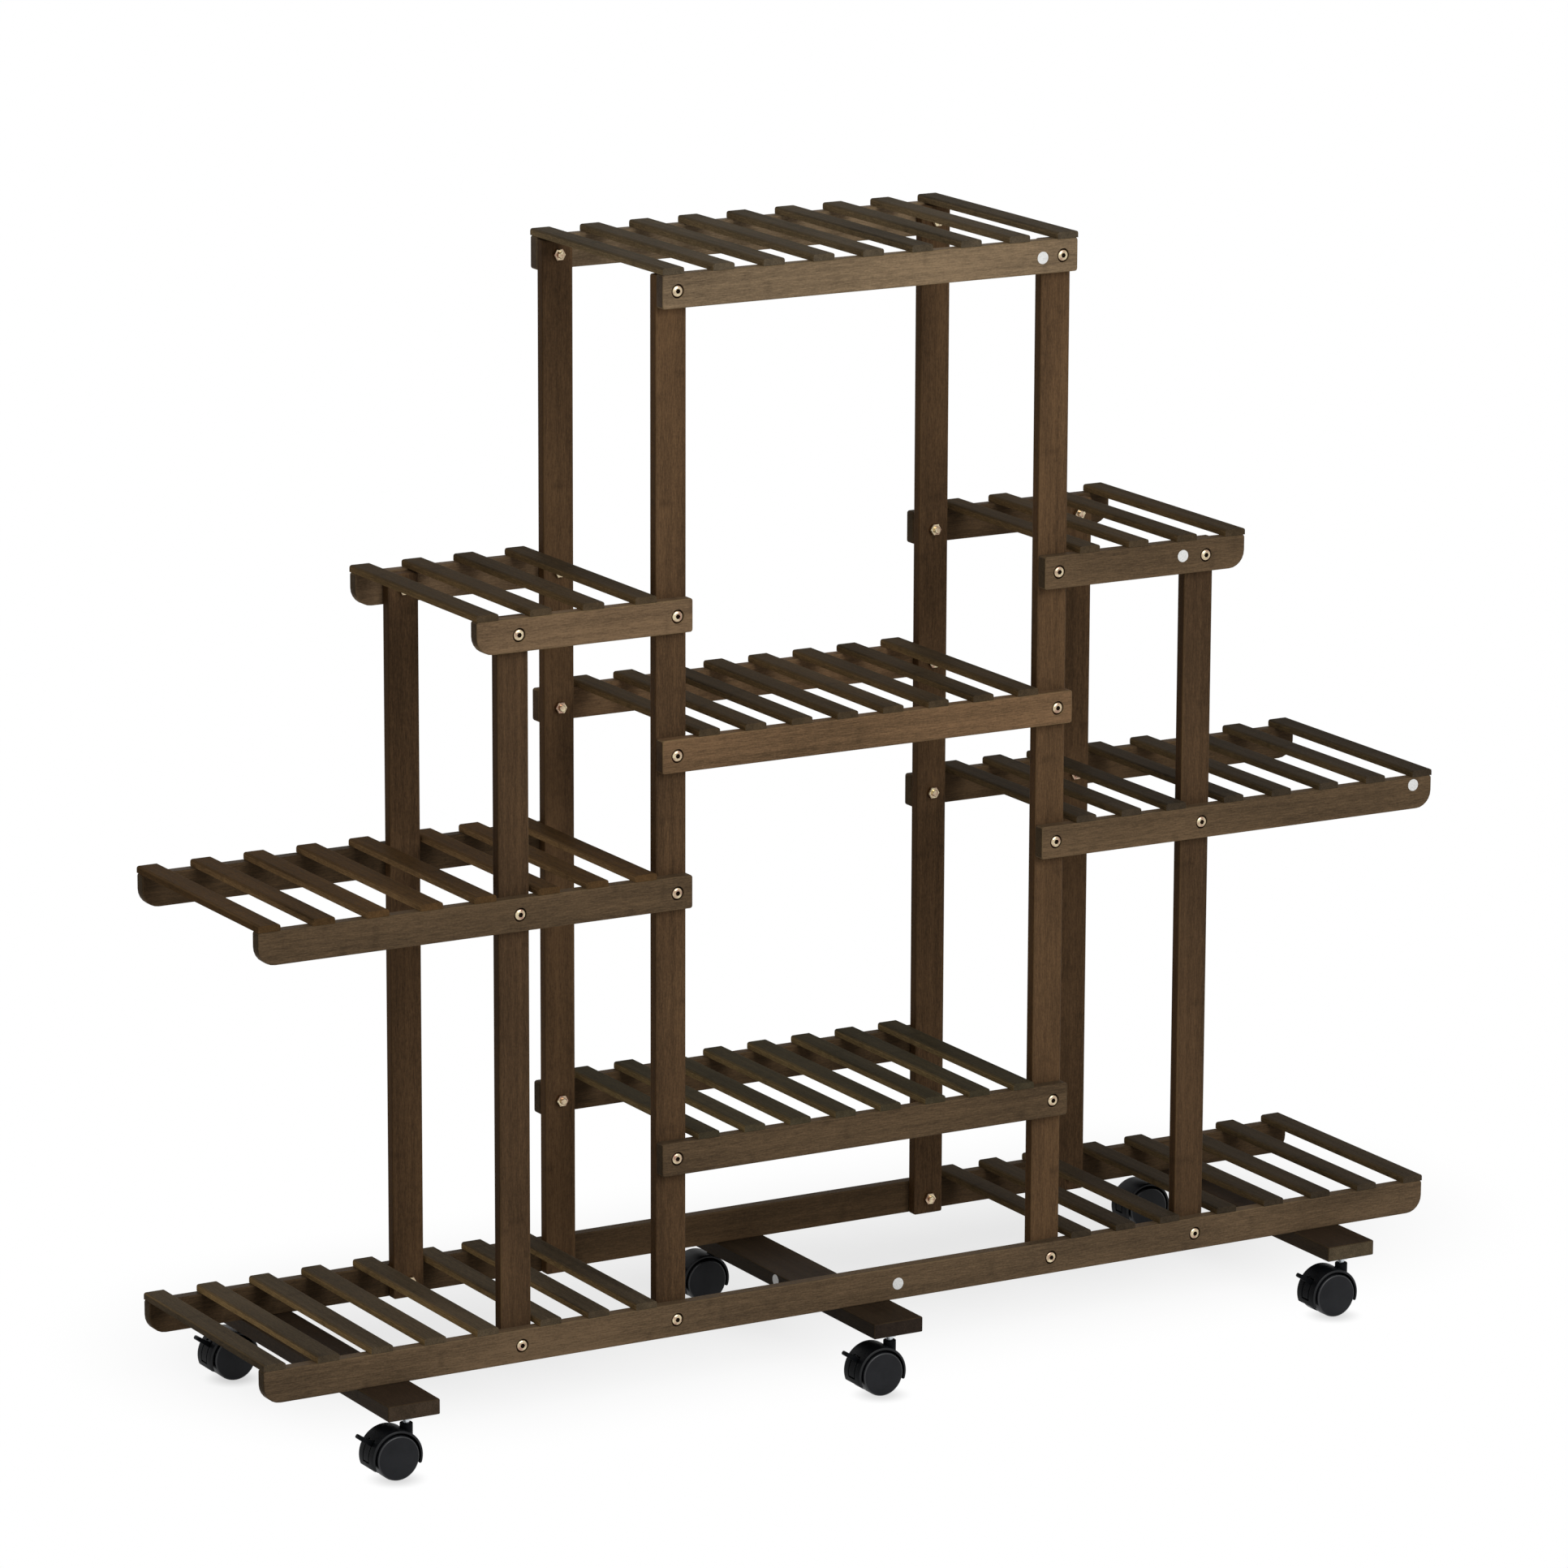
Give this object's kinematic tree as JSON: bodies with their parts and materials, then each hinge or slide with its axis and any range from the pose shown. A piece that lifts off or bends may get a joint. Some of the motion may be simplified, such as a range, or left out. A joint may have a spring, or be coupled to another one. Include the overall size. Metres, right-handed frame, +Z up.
{
  "type": "rolling stepped plant stand",
  "caption": "Straight stepped plant stand of dark stained bamboo boards with slatted shelves at several heights, rolling on braked twin-wheel casters.",
  "frame": {"origin": "on the floor under the middle of the stand", "axes": "+X along the length to the right seen from the front, +Y from front to rear, +Z up"},
  "size_m": [1.2, 0.354, 1.025],
  "materials": {
    "stained_bamboo": "satin",
    "black_nylon": "matte",
    "bright_zinc": "bright",
    "yellow_zinc": "satin",
    "white_paper": "matte"
  },
  "bodies": {
    "frame": {"front_inner_left_post": "stained_bamboo", "front_outer_left_post": "stained_bamboo", "front_inner_right_post": "stained_bamboo", "front_outer_right_post": "stained_bamboo", "rear_inner_left_post": "stained_bamboo", "rear_outer_left_post": "stained_bamboo", "rear_inner_right_post": "stained_bamboo", "rear_outer_right_post": "stained_bamboo", "top_front_rail": "stained_bamboo", "top_rear_rail": "stained_bamboo", "centre_front_rail": "stained_bamboo", "centre_rear_rail": "stained_bamboo", "lower_centre_front_rail": "stained_bamboo", "lower_centre_rear_rail": "stained_bamboo", "upper_left_front_rail": "stained_bamboo", "upper_left_rear_rail": "stained_bamboo", "upper_right_front_rail": "stained_bamboo", "upper_right_rear_rail": "stained_bamboo", "mid_left_front_rail": "stained_bamboo", "mid_left_rear_rail": "stained_bamboo", "mid_right_front_rail": "stained_bamboo", "mid_right_rear_rail": "stained_bamboo", "base_front_rail": "stained_bamboo", "base_rear_rail": "stained_bamboo", "top_slats": "stained_bamboo", "centre_slats": "stained_bamboo", "lower_centre_slats": "stained_bamboo", "upper_left_slats": "stained_bamboo", "upper_right_slats": "stained_bamboo", "mid_left_slats": "stained_bamboo", "mid_right_slats": "stained_bamboo", "base_left_slats": "stained_bamboo", "base_right_slats": "stained_bamboo", "left_beam": "stained_bamboo", "centre_beam": "stained_bamboo", "right_beam": "stained_bamboo", "caster_stems": "bright_zinc"},
    "front_left_caster_swivel": {"front_left_caster_hood": "black_nylon"},
    "front_left_caster_wheels": {"front_left_caster_wheels": "black_nylon"},
    "front_left_caster_brake": {"front_left_caster_brake": "black_nylon"},
    "front_centre_caster_swivel": {"front_centre_caster_hood": "black_nylon"},
    "front_centre_caster_wheels": {"front_centre_caster_wheels": "black_nylon"},
    "front_centre_caster_brake": {"front_centre_caster_brake": "black_nylon"},
    "front_right_caster_swivel": {"front_right_caster_hood": "black_nylon"},
    "front_right_caster_wheels": {"front_right_caster_wheels": "black_nylon"},
    "front_right_caster_brake": {"front_right_caster_brake": "black_nylon"},
    "rear_left_caster_swivel": {"rear_left_caster_hood": "black_nylon"},
    "rear_left_caster_wheels": {"rear_left_caster_wheels": "black_nylon"},
    "rear_left_caster_brake": {"rear_left_caster_brake": "black_nylon"},
    "rear_centre_caster_swivel": {"rear_centre_caster_hood": "black_nylon"},
    "rear_centre_caster_wheels": {"rear_centre_caster_wheels": "black_nylon"},
    "rear_centre_caster_brake": {"rear_centre_caster_brake": "black_nylon"},
    "rear_right_caster_swivel": {"rear_right_caster_hood": "black_nylon"},
    "rear_right_caster_wheels": {"rear_right_caster_wheels": "black_nylon"},
    "rear_right_caster_brake": {"rear_right_caster_brake": "black_nylon"}
  },
  "joints": [
    {"name": "front_left_caster_swivel_turn", "type": "hinge", "parent": "frame", "child": "front_left_caster_swivel", "pos_m": [-0.484, -0.161, 0.0475], "axis": [0, 0, 1], "continuous": true},
    {"name": "front_left_caster_wheel_roll", "type": "hinge", "parent": "front_left_caster_swivel", "child": "front_left_caster_wheels", "pos_m": [-0.499, -0.161, 0.02], "axis": [0, 1, 0], "continuous": true},
    {"name": "front_left_caster_brake_press", "type": "hinge", "parent": "front_left_caster_swivel", "child": "front_left_caster_brake", "pos_m": [-0.51825, -0.161, 0.0325], "axis": [0, -1, 0], "range_deg": [0, 7]},
    {"name": "front_centre_caster_swivel_turn", "type": "hinge", "parent": "frame", "child": "front_centre_caster_swivel", "pos_m": [0, -0.161, 0.0475], "axis": [0, 0, 1], "continuous": true},
    {"name": "front_centre_caster_wheel_roll", "type": "hinge", "parent": "front_centre_caster_swivel", "child": "front_centre_caster_wheels", "pos_m": [-0.015, -0.161, 0.02], "axis": [0, 1, 0], "continuous": true},
    {"name": "front_centre_caster_brake_press", "type": "hinge", "parent": "front_centre_caster_swivel", "child": "front_centre_caster_brake", "pos_m": [-0.03425, -0.161, 0.0325], "axis": [0, -1, 0], "range_deg": [0, 7]},
    {"name": "front_right_caster_swivel_turn", "type": "hinge", "parent": "frame", "child": "front_right_caster_swivel", "pos_m": [0.484, -0.161, 0.0475], "axis": [0, 0, 1], "continuous": true},
    {"name": "front_right_caster_wheel_roll", "type": "hinge", "parent": "front_right_caster_swivel", "child": "front_right_caster_wheels", "pos_m": [0.469, -0.161, 0.02], "axis": [0, 1, 0], "continuous": true},
    {"name": "front_right_caster_brake_press", "type": "hinge", "parent": "front_right_caster_swivel", "child": "front_right_caster_brake", "pos_m": [0.44975, -0.161, 0.0325], "axis": [0, -1, 0], "range_deg": [0, 7]},
    {"name": "rear_left_caster_swivel_turn", "type": "hinge", "parent": "frame", "child": "rear_left_caster_swivel", "pos_m": [-0.484, 0.161, 0.0475], "axis": [0, 0, 1], "continuous": true},
    {"name": "rear_left_caster_wheel_roll", "type": "hinge", "parent": "rear_left_caster_swivel", "child": "rear_left_caster_wheels", "pos_m": [-0.499, 0.161, 0.02], "axis": [0, 1, 0], "continuous": true},
    {"name": "rear_left_caster_brake_press", "type": "hinge", "parent": "rear_left_caster_swivel", "child": "rear_left_caster_brake", "pos_m": [-0.51825, 0.161, 0.0325], "axis": [0, -1, 0], "range_deg": [0, 7]},
    {"name": "rear_centre_caster_swivel_turn", "type": "hinge", "parent": "frame", "child": "rear_centre_caster_swivel", "pos_m": [0, 0.161, 0.0475], "axis": [0, 0, 1], "continuous": true},
    {"name": "rear_centre_caster_wheel_roll", "type": "hinge", "parent": "rear_centre_caster_swivel", "child": "rear_centre_caster_wheels", "pos_m": [-0.015, 0.161, 0.02], "axis": [0, 1, 0], "continuous": true},
    {"name": "rear_centre_caster_brake_press", "type": "hinge", "parent": "rear_centre_caster_swivel", "child": "rear_centre_caster_brake", "pos_m": [-0.03425, 0.161, 0.0325], "axis": [0, -1, 0], "range_deg": [0, 7]},
    {"name": "rear_right_caster_swivel_turn", "type": "hinge", "parent": "frame", "child": "rear_right_caster_swivel", "pos_m": [0.484, 0.161, 0.0475], "axis": [0, 0, 1], "continuous": true},
    {"name": "rear_right_caster_wheel_roll", "type": "hinge", "parent": "rear_right_caster_swivel", "child": "rear_right_caster_wheels", "pos_m": [0.469, 0.161, 0.02], "axis": [0, 1, 0], "continuous": true},
    {"name": "rear_right_caster_brake_press", "type": "hinge", "parent": "rear_right_caster_swivel", "child": "rear_right_caster_brake", "pos_m": [0.44975, 0.161, 0.0325], "axis": [0, -1, 0], "range_deg": [0, 7]}
  ]
}
